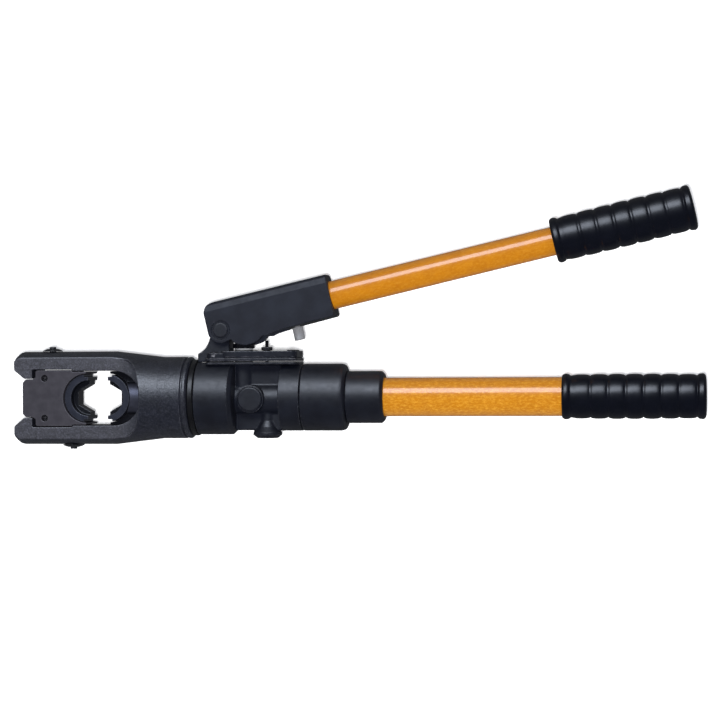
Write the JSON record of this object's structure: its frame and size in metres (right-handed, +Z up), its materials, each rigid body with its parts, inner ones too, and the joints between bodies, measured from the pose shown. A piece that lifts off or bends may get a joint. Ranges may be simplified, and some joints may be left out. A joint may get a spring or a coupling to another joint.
{
  "type": "hand hydraulic crimping tool",
  "caption": "Two-handled hydraulic compression tool with a forged open-ended yoke, a removable die block, hexagonal dies, a pump with a moving lever, and fibre handles with ribbed grips.",
  "frame": {"origin": "middle of the bounding box at the height of the lowest point of the yoke, with the tool lying on its side", "axes": "+X along the fixed handle from the head to the grip, +Y in the plane of the handles towards the moving handle, +Z up, square to the flats of the head"},
  "size_m": [0.6098, 0.227, 0.0761],
  "materials": {
    "cast_black": "black-finished forged steel with a sandblasted grain",
    "satin_black": "smooth satin black paint",
    "block_steel": "dark brown-black oxide, satin",
    "die_steel": "blue-black oxide, satin",
    "dark_steel": "black oxide",
    "bright_steel": "ground and plated",
    "bronze": "turned bronze",
    "nitrile": "moulded, slightly glossy",
    "yellow_fibre": "glossy orange-yellow glass fibre with wound strands under the resin",
    "black_rubber": "glossy moulded rubber"
  },
  "bodies": {
    "pump": {"pump_body": "satin_black", "ram_cylinder": "bright_steel", "spring_seat": "dark_steel", "swivel_snap_ring": "dark_steel", "swivel_seal": "nitrile", "valve_plug": "satin_black", "lower_valve_plug": "dark_steel", "check_valve_ball": "bright_steel", "relief_valve_ball": "bright_steel", "relief_valve_spring": "bright_steel", "cover_gasket": "nitrile", "pump_cover": "satin_black", "cover_screw_1": "dark_steel", "cover_screw_2": "dark_steel", "cover_screw_3": "dark_steel", "cover_screw_4": "dark_steel", "pivot_bracket": "satin_black", "gland_nut": "satin_black", "plunger_seal": "nitrile", "release_nut": "dark_steel", "release_spring": "bright_steel", "reservoir_cap": "satin_black", "oil_bladder": "nitrile", "bladder_clamp": "bright_steel", "handle_socket": "satin_black", "main_tube": "yellow_fibre", "main_grip": "black_rubber"},
    "head": {"yoke": "cast_black", "latch_bush_upper": "dark_steel", "latch_bush_lower": "dark_steel", "latch_spring_upper": "bright_steel", "latch_spring_lower": "bright_steel", "ram_guide_bush": "bronze"},
    "ram": {"ram": "dark_steel", "piston": "bright_steel", "piston_seal": "nitrile", "return_spring": "bright_steel"},
    "moving_die": {"moving_die": "die_steel"},
    "block": {"die_block": "block_steel", "block_screw_upper": "dark_steel", "block_screw_lower": "dark_steel"},
    "fixed_die": {"fixed_die": "die_steel"},
    "latch_upper": {"latch_pin_upper": "dark_steel"},
    "latch_lower": {"latch_pin_lower": "dark_steel"},
    "lever": {"lever": "satin_black", "pivot_pin": "dark_steel", "pivot_clip": "bright_steel", "drive_pin": "dark_steel", "stop_stud": "bright_steel", "lever_tube": "yellow_fibre", "lever_grip": "black_rubber"},
    "plunger": {"plunger": "bright_steel", "plunger_collar": "dark_steel"},
    "release": {"release_pin": "dark_steel"}
  },
  "joints": [
    {"name": "head_swivel", "type": "hinge", "parent": "pump", "child": "head", "pos_m": [-0.161, -0.06784, 0.03804], "axis": [1, 0, 0], "range_deg": [-90, 90]},
    {"name": "ram_slide", "type": "slide", "parent": "head", "child": "ram", "axis": [-1, 0, 0], "range_m": [0, 0.0175], "stiffness_N_per_m": 2500, "springref_m": -0.01, "deforming": ["return_spring"]},
    {"name": "moving_die_slide", "type": "slide", "parent": "ram", "child": "moving_die", "axis": [0, 0, 1], "range_m": [0, 0.045]},
    {"name": "block_slide", "type": "slide", "parent": "head", "child": "block", "axis": [0, 0, 1], "range_m": [0, 0.045]},
    {"name": "fixed_die_slide", "type": "slide", "parent": "block", "child": "fixed_die", "axis": [0, 0, 1], "range_m": [0, 0.045]},
    {"name": "latch_upper_pull", "type": "slide", "parent": "head", "child": "latch_upper", "axis": [0, 1, 0], "range_m": [0, 0.003], "stiffness_N_per_m": 700, "springref_m": -0.001, "deforming": ["latch_spring_upper"]},
    {"name": "latch_lower_pull", "type": "slide", "parent": "head", "child": "latch_lower", "axis": [0, -1, 0], "range_m": [0, 0.003], "stiffness_N_per_m": 700, "springref_m": -0.001, "deforming": ["latch_spring_lower"]},
    {"name": "lever_pivot", "type": "hinge", "parent": "pump", "child": "lever", "pos_m": [-0.1175, -0.00834, 0.03804], "axis": [0, 0, 1], "range_deg": [-4.5, 40]},
    {"name": "plunger_slide", "type": "slide", "parent": "pump", "child": "plunger", "axis": [0, 1, 0], "range_m": [-0.0016, 0.0128]},
    {"name": "release_press", "type": "slide", "parent": "pump", "child": "release", "axis": [0, -1, 0], "range_m": [0, 0.0035], "stiffness_N_per_m": 600, "springref_m": -0.001, "deforming": ["release_spring"]}
  ],
  "couplings": [
    {"joint": "plunger_slide", "follows": "lever_pivot", "m_per_rad": 0.01811}
  ]
}
